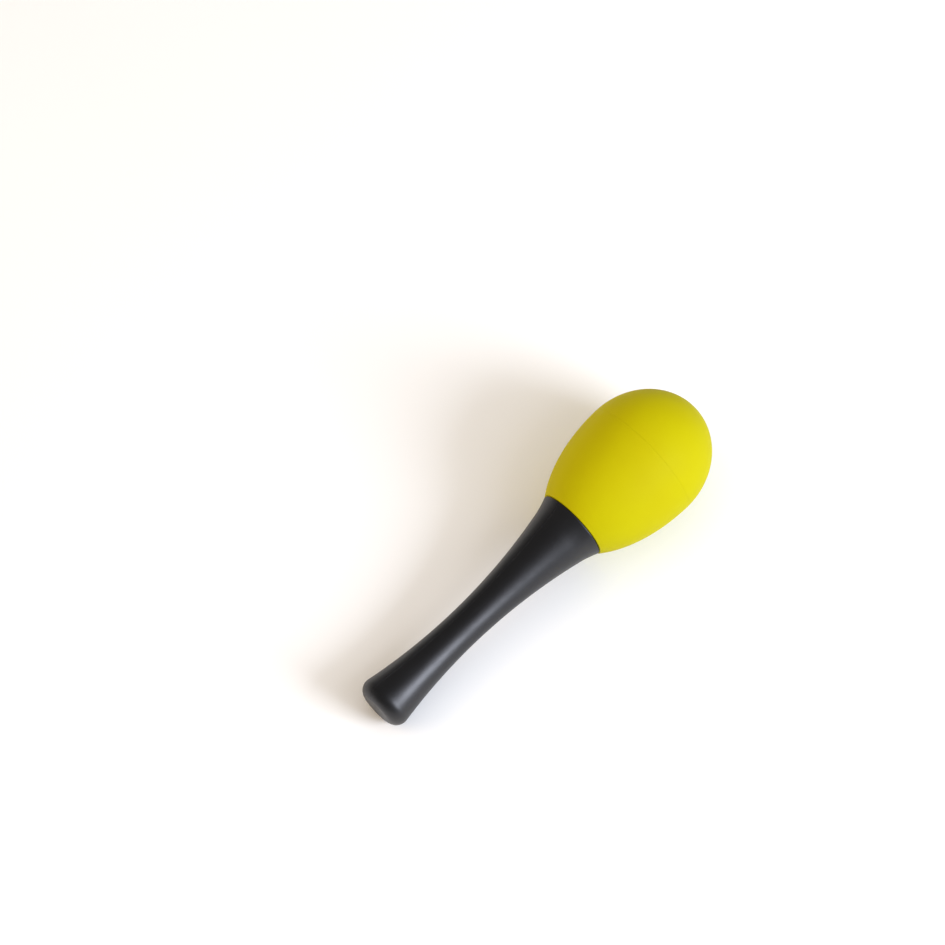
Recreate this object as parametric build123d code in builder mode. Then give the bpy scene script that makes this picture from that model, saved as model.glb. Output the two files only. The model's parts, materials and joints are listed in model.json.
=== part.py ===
from build123d import *
import os
from math import asin, atan, atan2, cos, degrees, hypot, pi, sin, sqrt, tan

# An egg shaker on a handle, lying on its side as it rests on a table. All sizes are in mm.
#
# Everything but the shot is laid out on one long axis. Along it, `s` runs from the flat end of
# the handle (s = 0) to the crown of the egg. The section plane holds that axis: its local x is
# s, and its local y is the distance from the axis.

# Driving dimensions
overall_length = 150.0
egg_length = 66.2           # the full egg form, whose narrow tip is cut off at the shoulder
egg_diameter = 45.0
egg_blunt_length = 25.4     # from the girth to the crown
egg_wall = 1.5
handle_length = 91.7        # the flat end to the rim that carries the egg
waist_position = 40.5
waist_diameter = 12.7
waist_curve = 213.0         # radius of the long hollow curve of the grip
flare_start = 84.8          # where the grip begins to open quicker towards the egg
flare_curve = 37.0
butt_corner = 4.2           # radius round the edge of the flat end
handle_wall = 1.8
shot_diameter = 3.0

# Fits and small features
seam_gap = 0.05             # clearance between moulded pieces that are joined
lap_length = 2.0            # tongue of the top shell inside the bottom shell
lap_thickness = 0.72
shoulder_gap = 0.05         # between the rim of the handle and the egg's shoulder
floor_radius = 12.8         # reach of the egg's closed floor into its wall
neck_radius = 8.6
neck_wall = 1.5
bead_radius = 9.6           # bead round the neck, trapped by the two halves of the handle
bead_height = 1.6
neck_end = 84.6
stop_bore_radius = 7.2      # ring in the handle that the neck's end stands on
collar_thickness = 1.5
mouth_ribs = (-67.5, -22.5, 22.5, 67.5)
mouth_rib_thickness = 1.2
mouth_rib_low_reach = 10.6  # how far out the ribs run into the wall, below and at the rim
mouth_rib_top_reach = 12.6
mouth_rib_rim_gap = 0.2
web_thickness = 1.2
wall_overlap = 0.5          # how far a ring or rib runs into what it stands on
web_positions = (27.5, 55.5)
boss_positions = (14.0, waist_position, 69.0)
boss_radius = 2.4
pin_radius = 1.2
pin_length = 3.0
socket_spare_depth = 0.4
seam_roll = -22.0           # turn of the handle's seam about the long axis, from upright

# Shot
shot_wall_gap = 0.2         # between the shot and the wall it lies on
shot_pitch = 3.15           # between neighbours in a row
row_pitch = 3.4             # between rows
layer_pitch = 3.2           # between layers
bed_rows = 4                # rows each side of the lowest one
bed_widest = 10             # balls in the lowest row
heap_low_rows = (2, 3, 2, 3, 2, 3, 2)
heap_top_rows = (3, 2, 3, 2, 3)
edge_offset = 6.4           # sideways, of the two strings of shot that run lengthwise
edge_depth = 12.55          # below the long axis
edge_start = 108.2
edge_count = 3

# Derived sizes
egg_radius = egg_diameter / 2
egg_narrow_length = egg_length - egg_blunt_length
girth = overall_length - egg_blunt_length
waist_radius = waist_diameter / 2
shoulder = handle_length + shoulder_gap
chamber_radius = egg_radius - egg_wall
chamber_blunt = egg_blunt_length - egg_wall
chamber_narrow = egg_narrow_length - egg_wall
shot_radius = shot_diameter / 2
lap_seat = chamber_radius + lap_thickness
lap_inner = chamber_radius * sqrt(1 - (lap_length / chamber_narrow) ** 2)

# The corner of the flat end is tangent to the end and to the hollow curve of the grip.
corner_centre = waist_radius + waist_curve - sqrt(
    (waist_curve + butt_corner) ** 2 - (waist_position - butt_corner) ** 2
)
butt_angle = asin((waist_position - butt_corner) / (waist_curve + butt_corner))
flare_angle = asin((flare_start - waist_position) / waist_curve)
rim_angle = asin(sin(flare_angle) + (handle_length - flare_start) / flare_curve)


def grip_radius(s):
    """Outer radius of the handle along the hollow curve of the grip."""
    return waist_radius + waist_curve - sqrt(waist_curve**2 - (s - waist_position) ** 2)


def ellipse_reach(along, across, angle):
    """How far an ellipse reaches from its centre in the direction at this angle to its length."""
    return hypot(along * cos(angle), across * sin(angle))


# At rest the belly of the egg and the corner of the flat end touch the table together, which
# leans the long axis. The lean is where both reach equally far down, and a few rounds settle it.
lean_rounds = 20
corner_run = hypot(girth - butt_corner, corner_centre)
corner_slope = atan2(corner_centre, girth - butt_corner)
lean = 0.0
for _ in range(lean_rounds):
    belly_reach = ellipse_reach(egg_narrow_length, egg_radius, pi / 2 + lean)
    lean = asin((belly_reach - butt_corner) / corner_run) - corner_slope

# The origin is on the table, under the middle of the object's length.
butt_height = butt_corner + corner_centre * cos(lean) - butt_corner * sin(lean)
butt_reach = butt_corner + corner_centre * sin(lean) - butt_corner * cos(lean)
crown_reach = girth * cos(lean) + ellipse_reach(egg_blunt_length, egg_radius, lean)
butt_centre = Vector((butt_reach - crown_reach) / 2, 0, butt_height)

long_direction = Vector(cos(lean), 0, sin(lean))
long_axis = Axis(butt_centre, long_direction)


def section_turned(turn):
    """The section plane, turned about the long axis by this many degrees from upright."""
    normal = Vector(0, -1, 0).rotate(Axis((0, 0, 0), long_direction), turn)
    return Plane(origin=butt_centre, x_dir=long_direction, z_dir=normal)


section = section_turned(0)
seam = section_turned(seam_roll)

os.makedirs("parts", exist_ok=True)


def band(start, end, inner, outer, mode=Mode.ADD):
    """A rectangle of the section from s = start to end, between two radii."""
    with Locations((start, inner)):
        Rectangle(end - start, outer - inner, align=(Align.MIN, Align.MIN), mode=mode)


def keep_above_axis():
    """Cut away what the section has below the long axis."""
    band(-egg_length, 2 * overall_length, -2 * egg_radius, 0, Mode.SUBTRACT)


def handle_section(inset, mode=Mode.ADD):
    """Half section of the solid handle, drawn this far inside its outer skin."""
    with BuildLine() as outline:
        end = Line((inset, 0), (inset, corner_centre))
        corner = JernArc(end @ 1, (0, 1), butt_corner - inset, -90 - degrees(butt_angle))
        grip = JernArc(corner @ 1, corner % 1, waist_curve + inset, degrees(butt_angle + flare_angle))
        flare = JernArc(grip @ 1, grip % 1, flare_curve + inset, degrees(rim_angle - flare_angle))
        Polyline(flare @ 1, ((flare @ 1).X, 0), (inset, 0))
    make_face(outline.edges(), mode=mode)


def half_handle_section():
    """Section of the hollow handle, with its mouth made to trap the egg's neck."""
    bead_top = neck_end + bead_height + seam_gap
    collar_low = neck_end - collar_thickness
    collar_top = bead_top + collar_thickness
    handle_section(0)
    handle_section(handle_wall, Mode.SUBTRACT)
    band(collar_low, collar_top, stop_bore_radius, grip_radius(neck_end) - wall_overlap)
    band(neck_end - seam_gap, bead_top, 0, bead_radius + 2 * seam_gap, Mode.SUBTRACT)
    band(bead_top, shoulder, 0, neck_radius + seam_gap, Mode.SUBTRACT)
    for position in web_positions:
        low = position - web_thickness / 2
        band(low, low + web_thickness, 0, grip_radius(position) - handle_wall / 2)
    band(handle_length, shoulder + egg_wall, 0, egg_radius, Mode.SUBTRACT)


def add_mouth_ribs(side):
    """Ribs that centre the neck in the mouth of one half. side is 1 or -1, along the seam's normal."""
    low = neck_end + bead_height + collar_thickness - wall_overlap
    top = handle_length - mouth_rib_rim_gap
    inner = neck_radius + seam_gap
    for angle in mouth_ribs:
        with BuildSketch(section_turned(seam_roll + side * (90 + angle))) as rib:
            with BuildLine():
                Polyline(
                    (low, inner),
                    (top, inner),
                    (top, mouth_rib_top_reach),
                    (low, mouth_rib_low_reach),
                    close=True,
                )
            make_face()
        extrude(rib.sketch, amount=mouth_rib_thickness / 2, both=True)


def add_bosses(side):
    """Round bosses from the wall of one half to the seam."""
    for position in boss_positions:
        with BuildSketch(seam) as boss:
            with Locations((position, 0)):
                Circle(boss_radius)
        extrude(boss.sketch, amount=side * (grip_radius(position) - handle_wall / 2))


# Handle, right half: sockets
with BuildPart() as handle_right_half:
    with BuildSketch(seam):
        half_handle_section()
    revolve(axis=long_axis, revolution_arc=180)
    add_mouth_ribs(1)
    add_bosses(1)
    with BuildSketch(seam):
        with Locations(*[(position, 0) for position in boss_positions]):
            Circle(pin_radius + seam_gap)
    extrude(amount=pin_length + socket_spare_depth, mode=Mode.SUBTRACT)
handle_right_half.part.label = "handle_right_half"
export_step(handle_right_half.part, "parts/handle_right_half.step")

# Handle, left half: pins
with BuildPart() as handle_left_half:
    with BuildSketch(seam):
        half_handle_section()
    revolve(axis=long_axis, revolution_arc=-180)
    add_mouth_ribs(-1)
    add_bosses(-1)
    with BuildSketch(seam):
        with Locations(*[(position, 0) for position in boss_positions]):
            Circle(pin_radius)
    extrude(amount=pin_length)
handle_left_half.part.label = "handle_left_half"
export_step(handle_left_half.part, "parts/handle_left_half.step")

# Egg, bottom shell: from the girth down to the shoulder, with a closed floor and a neck
with BuildPart() as egg_bottom_shell:
    with BuildSketch(section):
        with Locations((girth, 0)):
            Ellipse(egg_narrow_length, egg_radius)
            Ellipse(chamber_narrow, chamber_radius, mode=Mode.SUBTRACT)
        band(shoulder, shoulder + egg_wall, 0, floor_radius)
        band(girth, girth + egg_length, -egg_radius, egg_radius, Mode.SUBTRACT)
        band(girth - egg_narrow_length, shoulder, -egg_radius, egg_radius, Mode.SUBTRACT)
        band(girth - lap_length - seam_gap, girth, 0, lap_seat + seam_gap, Mode.SUBTRACT)
        band(neck_end, shoulder, neck_radius - neck_wall, neck_radius)
        band(neck_end, neck_end + bead_height, neck_radius - neck_wall, bead_radius)
        keep_above_axis()
    revolve(axis=long_axis)
egg_bottom_shell.part.label = "egg_bottom_shell"
export_step(egg_bottom_shell.part, "parts/egg_bottom_shell.step")

# Egg, top shell: the crown, with a tongue that laps inside the bottom shell
with BuildPart() as egg_top_shell:
    with BuildSketch(section):
        with Locations((girth, 0)):
            Ellipse(egg_blunt_length, egg_radius)
            Ellipse(chamber_blunt, chamber_radius, mode=Mode.SUBTRACT)
        band(girth - egg_blunt_length, girth, -egg_radius, egg_radius, Mode.SUBTRACT)
        band(girth - lap_length, girth, lap_inner, lap_seat)
        keep_above_axis()
    revolve(axis=long_axis)
egg_top_shell.part.label = "egg_top_shell"
export_step(egg_top_shell.part, "parts/egg_top_shell.step")


def row_of_shot(steps, count, layer):
    """Centres of one row of shot, this many rows from the chamber's lowest point towards the crown.

    The row runs across the chamber's lowest line, in a layer counted from the wall.
    """
    lowest_turn = atan(chamber_narrow / chamber_radius * tan(lean))
    from_girth = steps * row_pitch - chamber_narrow * sin(lowest_turn)
    along = chamber_blunt if from_girth > 0 else chamber_narrow
    turn = asin(from_girth / along)
    normal = Vector(chamber_radius * sin(turn), along * cos(turn)).normalized()
    wall = Vector(girth + from_girth, chamber_radius * cos(turn))
    centre = wall - normal * (shot_radius + shot_wall_gap + layer * layer_pitch)
    for place in range(count):
        angle = (place - (count - 1) / 2) * shot_pitch / centre.Y
        yield section.from_local_coords(
            Vector(centre.X, -centre.Y * cos(angle), centre.Y * sin(angle))
        )


def rows_of_shot(counts, layer):
    """Rows side by side, centred on the lowest row."""
    first = -(len(counts) // 2)
    return [ball for n, count in enumerate(counts) for ball in row_of_shot(first + n, count, layer)]


# Shot: the bed on the wall, the heap on it that is tossed across, and two strings beside the heap
bed_centres = rows_of_shot([bed_widest - abs(k) for k in range(-bed_rows, bed_rows + 1)], 0)
heap_centres = rows_of_shot(heap_low_rows, 1) + rows_of_shot(heap_top_rows, 2)
edge_centres = [
    section.from_local_coords(Vector(edge_start + n * shot_pitch, -edge_depth, side * edge_offset))
    for n in range(edge_count)
    for side in (-1, 1)
]

with BuildPart() as shot_bed:
    with Locations(*bed_centres):
        Sphere(shot_radius)
shot_bed.part.label = "shot_bed"
export_step(shot_bed.part, "parts/shot_bed.step")

with BuildPart() as shot_heap:
    with Locations(*heap_centres):
        Sphere(shot_radius)
shot_heap.part.label = "shot_heap"
export_step(shot_heap.part, "parts/shot_heap.step")

with BuildPart() as shot_edges:
    with Locations(*edge_centres):
        Sphere(shot_radius)
shot_edges.part.label = "shot_edges"
export_step(shot_edges.part, "parts/shot_edges.step")

print(f"lean {degrees(lean):.4f} degrees, butt centre {butt_centre}")
print(f"shot {len(bed_centres)} + {len(heap_centres)} + {len(edge_centres)}")
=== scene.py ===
import bpy
import bmesh
import json
import math
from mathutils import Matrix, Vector


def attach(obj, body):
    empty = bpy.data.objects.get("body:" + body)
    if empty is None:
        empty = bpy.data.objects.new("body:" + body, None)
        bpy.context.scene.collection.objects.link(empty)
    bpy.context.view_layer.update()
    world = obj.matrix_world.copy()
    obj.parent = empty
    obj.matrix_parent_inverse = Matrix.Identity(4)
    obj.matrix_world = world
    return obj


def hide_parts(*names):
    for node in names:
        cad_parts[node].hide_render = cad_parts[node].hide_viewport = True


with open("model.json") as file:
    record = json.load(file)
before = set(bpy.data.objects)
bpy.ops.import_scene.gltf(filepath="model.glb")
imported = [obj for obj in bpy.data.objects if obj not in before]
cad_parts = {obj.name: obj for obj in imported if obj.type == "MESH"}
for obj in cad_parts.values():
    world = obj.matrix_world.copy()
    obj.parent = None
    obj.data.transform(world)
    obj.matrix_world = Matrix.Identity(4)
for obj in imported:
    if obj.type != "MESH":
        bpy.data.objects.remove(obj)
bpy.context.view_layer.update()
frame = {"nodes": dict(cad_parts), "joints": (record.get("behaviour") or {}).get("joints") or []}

# ---------------------------------------------------------------------------
# Sizes in mm, along and across the long axis. s runs from the flat end of the handle (s = 0)
# to the crown of the egg.
LENGTH = 150.0
EGG_RADIUS = 22.5
EGG_BLUNT = 25.4            # girth to crown
EGG_NARROW = 40.8           # girth to the narrow tip that the handle hides
EGG_WALL = 1.5
GIRTH = LENGTH - EGG_BLUNT
SHOULDER = 91.75            # the egg's flat shoulder, on the handle's rim
RIM = 91.7
NECK_RADIUS = 8.6
NECK_WALL = 1.5
NECK_END = 84.6
BEAD_RADIUS = 9.6
BEAD_HEIGHT = 1.6
LAP = 2.0                   # length of the tongue of the top shell
LAP_SEAT = 21.72            # radius of the tongue
LAP_INNER_STEP = 0.03       # how far the tongue's bore is inside the chamber's wall at the girth
WAIST = 40.5
WAIST_RADIUS = 6.35
WAIST_CURVE = 213.0         # radius of the long hollow curve of the grip
FLARE_START = 84.8
FLARE_CURVE = 37.0          # radius of the quicker curve towards the rim
BUTT_CORNER = 4.2
HANDLE_WALL = 1.8
STOP_BORE = 7.2             # radius of the ring that the neck's end stands on
COLLAR = 1.5
FIT = 0.05                  # clearance between joined mouldings
SEAM_ROLL = -22.0           # degrees, of the handle's seam about the long axis

# Edge radii, in mm
GIRTH_EDGE = 0.03
GIRTH_GAP = 0.01
SHOULDER_EDGE = 0.22
RIM_EDGE = 0.40
SEAM_EDGE = 0.14

# How finely the meshes are divided
TURNS = 192                 # facets round a full turn
SKIN_STEPS = 84             # along each of the egg's two skins
WALL_STEPS = 48             # along each of the chamber's two walls
GRIP_STEPS = 70
CORNER_STEPS = 20
FLARE_STEPS = 12
RIM_STEPS = 8
SHOULDER_STEPS = 6
SEAM_STEPS = 5
GIRTH_STEPS = 4
CROWN_SKIN_START = 1.0      # degrees from the girth, where each skin's points begin
BASE_SKIN_START = -0.5
HALVINGS = 50               # rounds of a search by halves

CREASE = math.radians(40)   # edges sharper than this stay sharp
SAME_POINT = 1e-7           # metres: vertices as close as this are one
NO_LENGTH = 1e-8            # metres: edges as short as this are dissolved

# The long axis is the swirl joint's, which passes through the middle of the girth.
swirl = next(joint for joint in frame["joints"] if joint["name"] == "swirl")
AXIS = Vector(swirl["axis"]).normalized()
GIRTH_POINT = Vector(swirl["pos_m"])
ACROSS = Vector((0, 1, 0))
UP = AXIS.cross(ACROSS).normalized()


def place(s, up, across):
    """The point in the frame, in metres, of a point given in mm along and across the long axis."""
    return GIRTH_POINT + (AXIS * (s - GIRTH) + UP * up + ACROSS * across) / 1000


# ---------------------------------------------------------------------------
# Outlines: lists of (s, r) points
def arc(s, r, radius, start, end, count):
    """Points on a circle about (s, r), from one angle to another in degrees, 0 being along +s."""
    steps = [math.radians(start + (end - start) * n / count) for n in range(count + 1)]
    return [(s + radius * math.cos(a), r + radius * math.sin(a)) for a in steps]


def spread(function, start, end, count):
    """Points of a function at even steps, both ends included."""
    return [function(start + (end - start) * n / count) for n in range(count + 1)]


def egg_point(angle, inset=0.0):
    """A point on the egg, or this far inside it. angle is 0 at the girth and 90 degrees at a tip.

    It is positive towards the crown and negative towards the handle.
    """
    a = math.radians(angle)
    along = EGG_BLUNT if angle > 0 else EGG_NARROW
    normal = Vector((EGG_RADIUS * math.sin(a), along * math.cos(a))).normalized()
    return (
        GIRTH + along * math.sin(a) - inset * normal.x,
        EGG_RADIUS * math.cos(a) - inset * normal.y,
    )


def egg_angle_at(s, inset):
    """The angle at which the narrow end, this far inside its skin, passes s."""
    low, high = -89.0, 0.0
    for _ in range(HALVINGS):
        middle = (low + high) / 2
        if egg_point(middle, inset)[0] < s:
            low = middle
        else:
            high = middle
    return low


def chamber_point(angle):
    """A point on the wall of the chamber, an egg whose lengths and radius are less by the wall."""
    a = math.radians(angle)
    along = (EGG_BLUNT if angle > 0 else EGG_NARROW) - EGG_WALL
    return (GIRTH + along * math.sin(a), (EGG_RADIUS - EGG_WALL) * math.cos(a))


def chamber_angle_at(s):
    """The angle at which the narrow end of the chamber passes s."""
    return math.degrees(math.asin((s - GIRTH) / (EGG_NARROW - EGG_WALL)))


# Slope of the handle's outline, in radians, where the hollow curve of the grip meets the corner of
# the flat end and where it meets the flare. Then where the centres of the grip's, the flare's and
# the corner's circles are: S is along the long axis, and R is away from it.
BUTT_SLOPE = math.asin((WAIST - BUTT_CORNER) / (WAIST_CURVE + BUTT_CORNER))
FLARE_SLOPE = math.asin((FLARE_START - WAIST) / WAIST_CURVE)
GRIP_R = WAIST_RADIUS + WAIST_CURVE
FLARE_S = FLARE_START - FLARE_CURVE * math.sin(FLARE_SLOPE)
FLARE_R = GRIP_R - (WAIST_CURVE - FLARE_CURVE) * math.cos(FLARE_SLOPE)
CORNER_R = GRIP_R - (WAIST_CURVE + BUTT_CORNER) * math.cos(BUTT_SLOPE)


def flare_slope_at(s, inset):
    """Slope of a line this far inside the flare, in radians, where it passes s."""
    return math.asin((s - FLARE_S) / (FLARE_CURVE + inset))


def flare_point(slope, inset=0.0):
    """The point with this slope on the flare, or on a line this far inside it."""
    reach = FLARE_CURVE + inset
    return FLARE_S + reach * math.sin(slope), FLARE_R - reach * math.cos(slope)


def handle_outline(inset, end_s):
    """The handle's skin, or a line this far inside it, from the flat end to end_s."""
    reach = WAIST_CURVE + inset
    low_turn = 270 - math.degrees(BUTT_SLOPE)
    end_slope = math.asin((end_s - WAIST) / reach)
    high_turn = 270 + math.degrees(min(end_slope, FLARE_SLOPE))
    corner_end = 90 - math.degrees(BUTT_SLOPE)
    corner = arc(BUTT_CORNER, CORNER_R, BUTT_CORNER - inset, 180, corner_end, CORNER_STEPS)
    grip = arc(WAIST, GRIP_R, reach, low_turn, high_turn, GRIP_STEPS)
    if end_slope < FLARE_SLOPE:
        return corner + grip[1:]
    end_turn = 270 + math.degrees(flare_slope_at(end_s, inset))
    flare = arc(FLARE_S, FLARE_R, FLARE_CURVE + inset, high_turn, end_turn, FLARE_STEPS)
    return corner + grip[1:] + flare[1:]


# ---------------------------------------------------------------------------
# Meshes
def finish_mesh(name, builder, material, cad_node):
    """Turns a bmesh into a smooth piece of the shaker's body that stands for a CAD node."""
    bmesh.ops.remove_doubles(builder, verts=builder.verts, dist=SAME_POINT)
    bmesh.ops.dissolve_degenerate(builder, edges=builder.edges, dist=NO_LENGTH)
    bmesh.ops.recalc_face_normals(builder, faces=builder.faces)
    mesh = bpy.data.meshes.new(name)
    builder.to_mesh(mesh)
    builder.free()
    mesh.shade_smooth()
    mesh.set_sharp_from_angle(angle=CREASE)
    mesh.materials.append(material)
    piece = bpy.data.objects.new(name, mesh)
    bpy.context.scene.collection.objects.link(piece)
    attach(piece, "shaker")
    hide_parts(cad_node)


def bridge(builder, first, second):
    """Quads between two closed rings of vertices."""
    for n in range(len(first)):
        m = (n + 1) % len(first)
        builder.faces.new([first[n], first[m], second[m], second[n]])


def lathe(outline):
    """A closed outline turned all the way round the long axis."""
    builder = bmesh.new()
    rows = []
    for n in range(TURNS):
        turn = 2 * math.pi * n / TURNS
        points = [place(s, r * math.cos(turn), r * math.sin(turn)) for s, r in outline]
        rows.append([builder.verts.new(point) for point in points])
    for n in range(TURNS):
        bridge(builder, rows[n], rows[(n + 1) % TURNS])
    return builder


def half_lathe(skin, inside, side):
    """A closed outline turned half round the long axis, on one side of the seam.

    side is 1 or -1. The skin's edges along the seam are rounded, so that two halves meet in a fine
    groove. A row's positions are (x, y): x is the distance from the seam, y the distance along it.
    """
    roll = math.radians(SEAM_ROLL)
    builder = bmesh.new()
    rows = []

    def add_row(position):
        ring = []
        for n, (s, r) in enumerate(skin + inside):
            x, y = position(r, n < len(skin))
            up = y * math.cos(roll) + side * x * math.sin(roll)
            across = side * x * math.cos(roll) - y * math.sin(roll)
            ring.append(builder.verts.new(place(s, up, across)))
        rows.append(ring)

    def rounded_edge(turn, end):
        """Positions on the rounded edge, turned from the seam. end is 1 or -1."""
        out = SEAM_EDGE * (1 - math.cos(turn))
        drop = SEAM_EDGE * (1 - math.sin(turn))

        def position(r, on_skin):
            radius = max(r - drop, 0) if on_skin else r
            x = min(out, radius)
            return x, end * math.sqrt(radius**2 - x**2)

        return position

    def round_the_axis(share):
        """Positions this share of the way from one rounded edge to the other."""

        def position(r, on_skin):
            start = math.asin(min(SEAM_EDGE / r, 1.0)) if r > 0 else 0.0
            angle = start + (math.pi - 2 * start) * share
            return r * math.sin(angle), r * math.cos(angle)

        return position

    quarter = [math.pi / 2 * n / SEAM_STEPS for n in range(SEAM_STEPS + 1)]
    for turn in quarter:
        add_row(rounded_edge(turn, 1))
    for n in range(1, TURNS // 2):
        add_row(round_the_axis(n / (TURNS // 2)))
    for turn in reversed(quarter):
        add_row(rounded_edge(turn, -1))
    for first, second in zip(rows, rows[1:]):
        bridge(builder, first, second)
    builder.faces.new(rows[0])
    builder.faces.new(rows[-1])
    return builder


# ---------------------------------------------------------------------------
# The pieces' shapes
def egg_crown():
    """Top shell: its edge at the girth, the skin, the chamber's wall and the tongue."""
    edge = arc(GIRTH + GIRTH_EDGE, EGG_RADIUS - GIRTH_EDGE, GIRTH_EDGE, 180, 90, GIRTH_STEPS)
    skin = spread(egg_point, CROWN_SKIN_START, 90.0, SKIN_STEPS)
    wall = spread(chamber_point, 90.0, 0.0, WALL_STEPS)
    inner = wall[-1][1] - LAP_INNER_STEP
    tongue = [(GIRTH - LAP, inner), (GIRTH - LAP, LAP_SEAT), (GIRTH, LAP_SEAT)]
    return lathe(edge + skin + wall + tongue)


def egg_base():
    """Bottom shell: the skin from girth to shoulder, the neck with its bead, and the chamber."""
    top = GIRTH - GIRTH_GAP
    edge = arc(top - GIRTH_EDGE, EGG_RADIUS - GIRTH_EDGE, GIRTH_EDGE, 0, 90, GIRTH_STEPS)
    shoulder_turn = egg_angle_at(SHOULDER + SHOULDER_EDGE, SHOULDER_EDGE)
    skin = spread(egg_point, BASE_SKIN_START, shoulder_turn, SKIN_STEPS)
    centre = egg_point(shoulder_turn, SHOULDER_EDGE)
    on_skin = Vector(egg_point(shoulder_turn)) - Vector(centre)
    leaving = math.degrees(math.atan2(on_skin.y, on_skin.x))
    shoulder = arc(*centre, SHOULDER_EDGE, leaving, 180, SHOULDER_STEPS)
    neck = [
        (SHOULDER, BEAD_RADIUS),
        (SHOULDER, NECK_RADIUS),
        (NECK_END + BEAD_HEIGHT, NECK_RADIUS),
        (NECK_END + BEAD_HEIGHT, BEAD_RADIUS),
        (NECK_END, BEAD_RADIUS),
        (NECK_END, NECK_RADIUS - NECK_WALL),
        (SHOULDER, NECK_RADIUS - NECK_WALL),
        (SHOULDER, 0.0),
        (SHOULDER + EGG_WALL, 0.0),
    ]
    lap_end = GIRTH - LAP - FIT
    floor_turn = chamber_angle_at(SHOULDER + EGG_WALL)
    wall = spread(chamber_point, floor_turn, chamber_angle_at(lap_end), WALL_STEPS)
    seat = [(lap_end, LAP_SEAT + FIT), (top, LAP_SEAT + FIT)]
    return lathe(edge + skin[1:] + shoulder[1:] + neck + wall + seat)


def handle_half(side):
    """One half of the handle, with the mouth that traps the egg's neck."""
    rim_slope = flare_slope_at(RIM - RIM_EDGE, RIM_EDGE)
    skin = [(0.0, 0.0)] + handle_outline(0.0, flare_point(rim_slope)[0])
    rim_centre = flare_point(rim_slope, RIM_EDGE)
    rim = arc(*rim_centre, RIM_EDGE, 90 + math.degrees(rim_slope), 0, RIM_STEPS)
    bore = NECK_RADIUS + FIT
    groove = BEAD_RADIUS + 2 * FIT
    bead_low = NECK_END - FIT
    bead_top = NECK_END + BEAD_HEIGHT + FIT
    inside = [
        (RIM, handle_outline(HANDLE_WALL, RIM)[-1][1]),
        handle_outline(HANDLE_WALL, bead_top + COLLAR)[-1],
        (bead_top + COLLAR, bore),
        (bead_top, bore),
        (bead_top, groove),
        (bead_low, groove),
        (bead_low, STOP_BORE),
        (NECK_END - COLLAR, STOP_BORE),
        *reversed(handle_outline(HANDLE_WALL, NECK_END - COLLAR)),
        (HANDLE_WALL, 0.0),
    ]
    return half_lathe(skin + rim[1:], inside, side)


# ---------------------------------------------------------------------------
# Materials
def node(tree, kind, **inputs):
    """A shader node with its inputs set: by value, or by the socket that feeds them."""
    made = tree.nodes.new(kind)
    for name, value in inputs.items():
        socket = made.inputs[name.replace("_", " ")]
        if isinstance(value, bpy.types.NodeSocket):
            tree.links.new(value, socket)
        else:
            socket.default_value = value
    return made


NOISE_LOW, NOISE_HIGH = 0.3, 0.7    # most of a noise texture's values lie between these
NOISE_ROUGHNESS = 0.55


def mottle(tree, where, scale, detail, low=0.0, high=1.0):
    """A soft noise over the surface, brought to a range."""
    noise = node(
        tree,
        "ShaderNodeTexNoise",
        Vector=where,
        Scale=scale,
        Detail=detail,
        Roughness=NOISE_ROUGHNESS,
    )
    ranged = node(
        tree,
        "ShaderNodeMapRange",
        Value=noise.outputs["Fac"],
        From_Min=NOISE_LOW,
        From_Max=NOISE_HIGH,
        To_Min=low,
        To_Max=high,
    )
    return ranged.outputs["Result"]


def calculate(tree, operation, *values):
    """A Math node's result."""
    made = tree.nodes.new("ShaderNodeMath")
    made.operation = operation
    for socket, value in zip(made.inputs, values):
        if isinstance(value, bpy.types.NodeSocket):
            tree.links.new(value, socket)
        else:
            socket.default_value = value
    return made


def start_material(name):
    """A new material, with its tree, its shader and the socket that says where a point is."""
    material = bpy.data.materials.new(name)
    material.use_nodes = True
    tree = material.node_tree
    shader = tree.nodes["Principled BSDF"]
    where = tree.nodes.new("ShaderNodeTexCoord").outputs["Object"]
    return material, tree, shader, where


def two_colours(tree, shader, share, first, second):
    """Sets the shader's colour to a mix of two, by a share from 0 to 1."""
    mixed = tree.nodes.new("ShaderNodeMix")
    mixed.data_type = "RGBA"
    for name, colour in (("A", first), ("B", second)):
        socket = next(i for i in mixed.inputs if i.name == name and i.type == "RGBA")
        socket.default_value = (*colour, 1)
    tree.links.new(share, mixed.inputs[0])
    result = next(o for o in mixed.outputs if o.type == "RGBA")
    tree.links.new(result, shader.inputs["Base Color"])


# Lumps in a moulded skin, finest first: how many to a metre, and a height in metres.
TEXTURE = ((2600, 0.00002), (700, 0.00006), (160, 0.00020))
TEXTURE_STRENGTH = 0.25
POLISH_SPREAD = 0.03        # how far the roughness strays either way
SCRATCH_STRETCH = (90, 900, 900)
SCRATCH_LEAN = (0.4, 0.3, 0.5)


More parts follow.
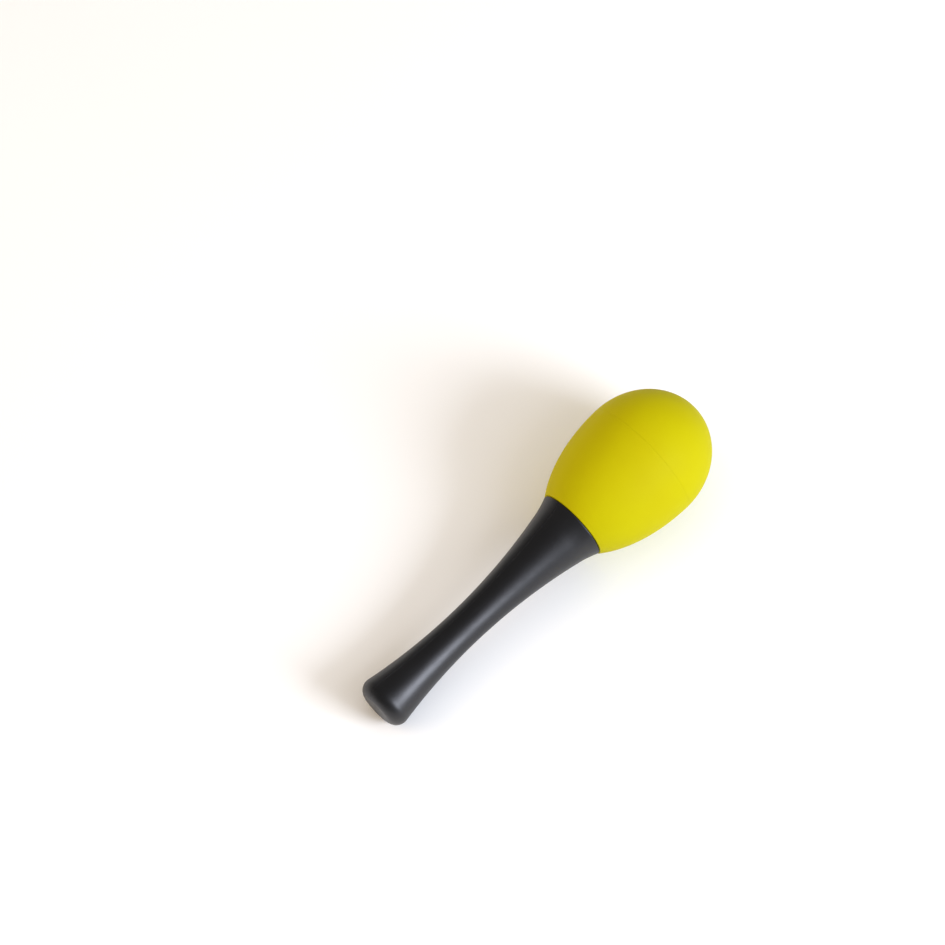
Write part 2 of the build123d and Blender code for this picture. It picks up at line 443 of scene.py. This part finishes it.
def moulded_plastic(name, colour, shade, roughness, scuff):
    """Moulded plastic: flow marks in the colour, patchy gloss, scuffs and a fine texture."""
    material, tree, shader, where = start_material(name)
    flow = mottle(tree, where, scale=45.0, detail=3.0)
    two_colours(tree, shader, flow, colour, shade)

    polish = mottle(
        tree,
        where,
        scale=70.0,
        detail=5.0,
        low=roughness - POLISH_SPREAD,
        high=roughness + POLISH_SPREAD,
    )
    stretched = node(
        tree, "ShaderNodeMapping", Vector=where, Scale=SCRATCH_STRETCH, Rotation=SCRATCH_LEAN
    )
    scratches = mottle(tree, stretched.outputs["Vector"], scale=1.0, detail=2.0, low=-0.6)
    patches = mottle(tree, where, scale=120.0, detail=2.0, low=-0.8)
    worn = calculate(tree, "MULTIPLY", scratches, patches)
    worn.use_clamp = True
    rough = calculate(tree, "MULTIPLY_ADD", worn.outputs[0], scuff, polish)
    tree.links.new(rough.outputs[0], shader.inputs["Roughness"])

    normal = None
    for scale, height in TEXTURE:
        lumps = node(tree, "ShaderNodeTexNoise", Vector=where, Scale=scale, Detail=1.0)
        bump = node(
            tree,
            "ShaderNodeBump",
            Height=lumps.outputs["Fac"],
            Strength=TEXTURE_STRENGTH,
            Distance=height,
        )
        if normal:
            tree.links.new(normal, bump.inputs["Normal"])
        normal = bump.outputs["Normal"]
    tree.links.new(normal, shader.inputs["Normal"])
    shader.inputs["IOR"].default_value = 1.5
    return material, shader


def yellow_plastic():
    material, shader = moulded_plastic(
        "egg_plastic",
        colour=(0.475, 0.432, 0.001),
        shade=(0.46, 0.404, 0.001),
        roughness=0.62,
        scuff=0.06,
    )
    shader.inputs["Specular IOR Level"].default_value = 0.06
    shader.inputs["Subsurface Weight"].default_value = 0.12
    shader.inputs["Subsurface Radius"].default_value = (1.0, 0.8, 0.1)
    shader.inputs["Subsurface Scale"].default_value = 0.0015
    return material


def black_plastic():
    material, shader = moulded_plastic(
        "handle_plastic",
        colour=(0.0018, 0.0018, 0.0020),
        shade=(0.0028, 0.0028, 0.0032),
        roughness=0.43,
        scuff=0.08,
    )
    shader.inputs["Specular IOR Level"].default_value = 0.6
    shader.inputs["Specular Tint"].default_value = (0.93, 0.94, 1.0, 1)
    return material


def steel():
    """Polished steel shot, dulled a little by rolling together."""
    material, tree, shader, where = start_material("shot_steel")
    shader.inputs["Metallic"].default_value = 1.0
    tint = mottle(tree, where, scale=900.0, detail=3.0)
    two_colours(tree, shader, tint, (0.58, 0.58, 0.60), (0.48, 0.48, 0.50))
    polish = mottle(tree, where, scale=2500.0, detail=4.0, low=0.16, high=0.34)
    tree.links.new(polish, shader.inputs["Roughness"])
    dents = node(tree, "ShaderNodeTexNoise", Vector=where, Scale=3000.0, Detail=3.0)
    bump = node(
        tree, "ShaderNodeBump", Height=dents.outputs["Fac"], Strength=0.3, Distance=0.00001
    )
    tree.links.new(bump.outputs["Normal"], shader.inputs["Normal"])
    return material


# ---------------------------------------------------------------------------
# The pieces
EGG_PLASTIC = yellow_plastic()
HANDLE_PLASTIC = black_plastic()
STEEL = steel()

for name, builder, material, cad_node, slot in (
    ("egg_crown", egg_crown(), EGG_PLASTIC, "egg_top_shell", "egg_plastic"),
    ("egg_base", egg_base(), EGG_PLASTIC, "egg_bottom_shell", "egg_plastic"),
    ("handle_left", handle_half(1), HANDLE_PLASTIC, "handle_left_half", "handle_plastic"),
    ("handle_right", handle_half(-1), HANDLE_PLASTIC, "handle_right_half", "handle_plastic"),
):
    finish_mesh(name, builder, material, cad_node)

for name in ("shot_bed", "shot_heap", "shot_edges"):
    shot = frame["nodes"][name]
    shot.data.materials.clear()
    shot.data.materials.append(STEEL)

# ---------------------------------------------------------------------------
# Studio: a pale floor, a pale surround, a key light with a wider one beside it that draw the
# highlight along the handle, and two fill lights that show in no reflection
CENTRE = place(LENGTH / 2, 0, 0)
VIEW_AZIMUTH = math.radians(-44.1)
VIEW_ELEVATION = math.radians(63.8)
TO_CAMERA = Vector(
    (
        math.sin(VIEW_AZIMUTH) * math.cos(VIEW_ELEVATION),
        -math.cos(VIEW_AZIMUTH) * math.cos(VIEW_ELEVATION),
        math.sin(VIEW_ELEVATION),
    )
)
VIEW_RIGHT = Vector((math.cos(VIEW_AZIMUTH), math.sin(VIEW_AZIMUTH), 0))
VIEW_UP = TO_CAMERA.cross(VIEW_RIGHT)
CAMERA_DISTANCE = 1.5
LENS = 170.0                # mm, on a sensor 36 mm wide
SENSOR = 36.0
AIM_LEFT = 0.0217           # metres, from the middle of the long axis to where the camera aims
AIM_UP = 0.0287
FLOOR_HALF = 6.0            # metres, half the floor's width
SURROUND_COLOUR = (1.0, 0.95, 0.90, 1)
SURROUND_STRENGTH = 0.23


def add_object(name, data):
    """A new object of the scene that holds this data."""
    made = bpy.data.objects.new(name, data)
    bpy.context.scene.collection.objects.link(made)
    return made


def look_back(made, direction, target, distance):
    """Puts a camera or light this far from a target, in a direction from it, and aims it there."""
    made.location = target + direction.normalized() * distance
    made.rotation_mode = "QUATERNION"
    made.rotation_quaternion = direction.to_track_quat("Z", "Y")


def make_camera():
    data = bpy.data.cameras.new("camera")
    data.sensor_width = SENSOR
    data.lens = LENS
    camera = add_object("camera", data)
    aim = CENTRE - VIEW_RIGHT * AIM_LEFT + VIEW_UP * AIM_UP
    look_back(camera, TO_CAMERA, aim, CAMERA_DISTANCE)
    bpy.context.scene.camera = camera


def make_floor():
    mesh = bpy.data.meshes.new("floor")
    corners = [(x * FLOOR_HALF, y * FLOOR_HALF, 0) for x, y in ((-1, -1), (1, -1), (1, 1), (-1, 1))]
    mesh.from_pydata(corners, [], [(0, 1, 2, 3)])
    add_object("floor", mesh)
    material, tree, shader, where = start_material("floor_paint")
    tint = mottle(tree, where, scale=3.0, detail=3.0)
    two_colours(tree, shader, tint, (0.91, 0.925, 0.95), (0.89, 0.905, 0.93))
    shader.inputs["Roughness"].default_value = 0.9
    shader.inputs["Specular IOR Level"].default_value = 0.1
    mesh.materials.append(material)


def make_light(name, direction, distance, size, power, colour, gloss=True):
    """A square soft light, in metres and watts. Without gloss it shows in no reflection."""
    data = bpy.data.lights.new(name, "AREA")
    data.shape = "SQUARE"
    data.size = size
    data.energy = power
    data.color = colour
    light = add_object(name, data)
    look_back(light, Vector(direction), CENTRE, distance)
    light.visible_glossy = gloss


def make_surround():
    world = bpy.data.worlds.new("surround")
    world.use_nodes = True
    background = world.node_tree.nodes["Background"]
    background.inputs["Color"].default_value = SURROUND_COLOUR
    background.inputs["Strength"].default_value = SURROUND_STRENGTH
    bpy.context.scene.world = world


make_camera()
make_floor()
make_surround()
make_light(
    "key",
    direction=(0.27, -0.84, 0.47),
    distance=1.2,
    size=0.50,
    power=13.3,
    colour=(0.95, 0.99, 1.07),
)
make_light(
    "side",
    direction=(0.15, -0.70, 0.70),
    distance=1.4,
    size=0.75,
    power=4.2,
    colour=(0.97, 0.98, 1.05),
)
make_light(
    "sky",
    direction=(0.0, 0.0, 1.0),
    distance=1.6,
    size=3.0,
    power=19.5,
    colour=(1.0, 0.96, 0.91),
    gloss=False,
)
make_light(
    "fill",
    direction=(-0.6, 0.6, 0.5),
    distance=1.4,
    size=1.2,
    power=9.5,
    colour=(1.0, 0.72, 0.40),
    gloss=False,
)
bpy.context.scene.view_settings.view_transform = "Standard"
